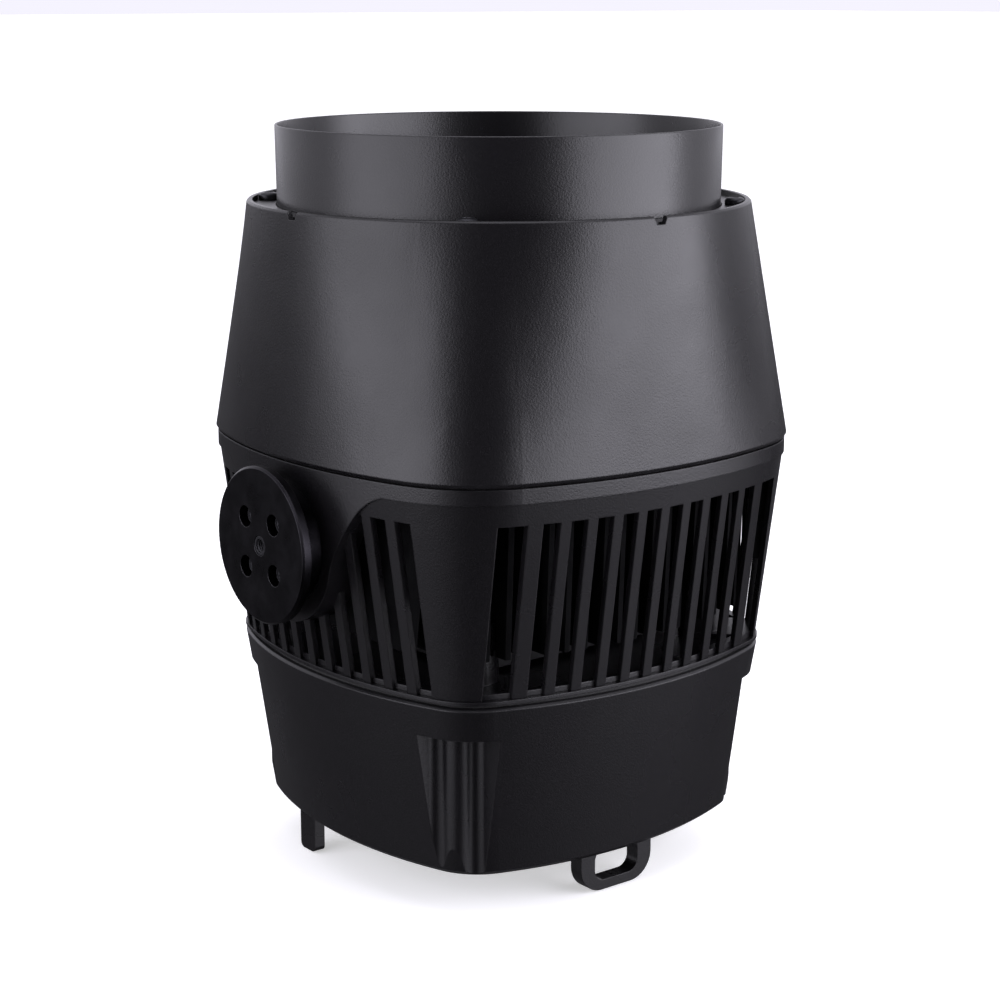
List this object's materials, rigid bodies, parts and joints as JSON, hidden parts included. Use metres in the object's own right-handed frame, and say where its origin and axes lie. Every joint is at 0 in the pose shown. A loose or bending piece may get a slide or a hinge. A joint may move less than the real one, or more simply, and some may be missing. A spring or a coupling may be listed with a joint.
{
  "type": "LED stage light head",
  "caption": "Round-mouthed LED stage light head without its yoke: rounded-square finned body, front accessory ring, side tilt hubs, rear cover with hanging loops, feet and sockets.",
  "frame": {"origin": "on the optical axis, in the plane that the rear loops and feet stand on", "axes": "+Z along the optical axis, out of the lens; +X along the tilt axis, out of the right hub; the two hanging loops are on -Y and +Y"},
  "size_m": [0.261, 0.236, 0.336],
  "materials": {
    "shell_coat": "satin black powder coat",
    "plate_coat": "satin black powder coat",
    "black_anodised": "bead-blasted, black anodised",
    "sink_anodised": "extruded, black anodised",
    "bright_aluminium": "spun and brightened",
    "mill_aluminium": "mill finish sheet",
    "bright_steel": "turned, zinc plated",
    "black_steel": "black zinc",
    "lens_glass": "polished",
    "seal_rubber": "moulded",
    "button_rubber": "moulded",
    "board_laminate": "solder mask",
    "board_white": "white solder mask on aluminium core",
    "emitter_resin": "clear cast",
    "fan_plastic": "moulded",
    "socket_plastic": "moulded",
    "window_plastic": "polished",
    "panel_plastic": "fine texture"
  },
  "bodies": {
    "head": {"board_screws": "bright_steel", "board_spacers": "mill_aluminium", "bracket_screws": "bright_steel", "breather_vent": "fan_plastic", "button_switches": "fan_plastic", "cable_grommet": "seal_rubber", "control_board": "board_laminate", "control_panel": "panel_plastic", "data_inlet": "black_anodised", "data_outlet": "black_anodised", "deck_plate": "plate_coat", "display_module": "fan_plastic", "display_window": "window_plastic", "earth_stud": "bright_steel", "fan_frame": "fan_plastic", "fan_screws": "bright_steel", "front_gasket": "seal_rubber", "front_housing": "shell_coat", "front_plate": "plate_coat", "front_ring": "shell_coat", "front_screws": "black_steel", "fuse_holder": "socket_plastic", "hanging_loop_back": "plate_coat", "hanging_loop_front": "plate_coat", "heat_sink": "sink_anodised", "housing_tie_screws": "bright_steel", "hub_insert_left": "black_steel", "hub_insert_right": "black_steel", "hub_nut_plates": "bright_steel", "hub_screws": "black_steel", "led_board": "board_white", "led_board_screws": "bright_steel", "led_emitters": "emitter_resin", "lens": "lens_glass", "lens_gasket": "seal_rubber", "lens_retainer": "black_anodised", "lens_screws": "black_steel", "louvre_housing": "shell_coat", "panel_screws": "black_steel", "pillars": "mill_aluminium", "power_inlet": "socket_plastic", "power_outlet": "socket_plastic", "power_supply": "mill_aluminium", "rear_cover": "shell_coat", "rear_gasket": "seal_rubber", "rear_screws": "black_steel", "reflector": "bright_aluminium", "sink_screws": "bright_steel", "socket_screws": "black_steel", "standing_feet": "plate_coat", "thermal_pad": "seal_rubber", "tilt_hub_left": "black_anodised", "tilt_hub_right": "black_anodised"},
    "rotor": {"fan_rotor": "fan_plastic"},
    "button_1": {"menu_button_1": "button_rubber"},
    "button_2": {"menu_button_2": "button_rubber"},
    "button_3": {"menu_button_3": "button_rubber"},
    "button_4": {"menu_button_4": "button_rubber"},
    "latch": {"data_latch": "bright_steel"}
  },
  "joints": [
    {"name": "fan_spin", "type": "hinge", "parent": "head", "child": "rotor", "pos_m": [0, 0, 0.119], "axis": [0, 0, 1], "continuous": true},
    {"name": "button_1_press", "type": "slide", "parent": "head", "child": "button_1", "axis": [0, 0, 1], "range_m": [0, 0.0012], "stiffness_N_per_m": 800, "springref_m": -0.0006},
    {"name": "button_2_press", "type": "slide", "parent": "head", "child": "button_2", "axis": [0, 0, 1], "range_m": [0, 0.0012], "stiffness_N_per_m": 800, "springref_m": -0.0006},
    {"name": "button_3_press", "type": "slide", "parent": "head", "child": "button_3", "axis": [0, 0, 1], "range_m": [0, 0.0012], "stiffness_N_per_m": 800, "springref_m": -0.0006},
    {"name": "button_4_press", "type": "slide", "parent": "head", "child": "button_4", "axis": [0, 0, 1], "range_m": [0, 0.0012], "stiffness_N_per_m": 800, "springref_m": -0.0006},
    {"name": "latch_press", "type": "slide", "parent": "head", "child": "latch", "axis": [0, 0, 1], "range_m": [0, 0.0015], "stiffness_N_per_m": 600, "springref_m": -0.001}
  ]
}
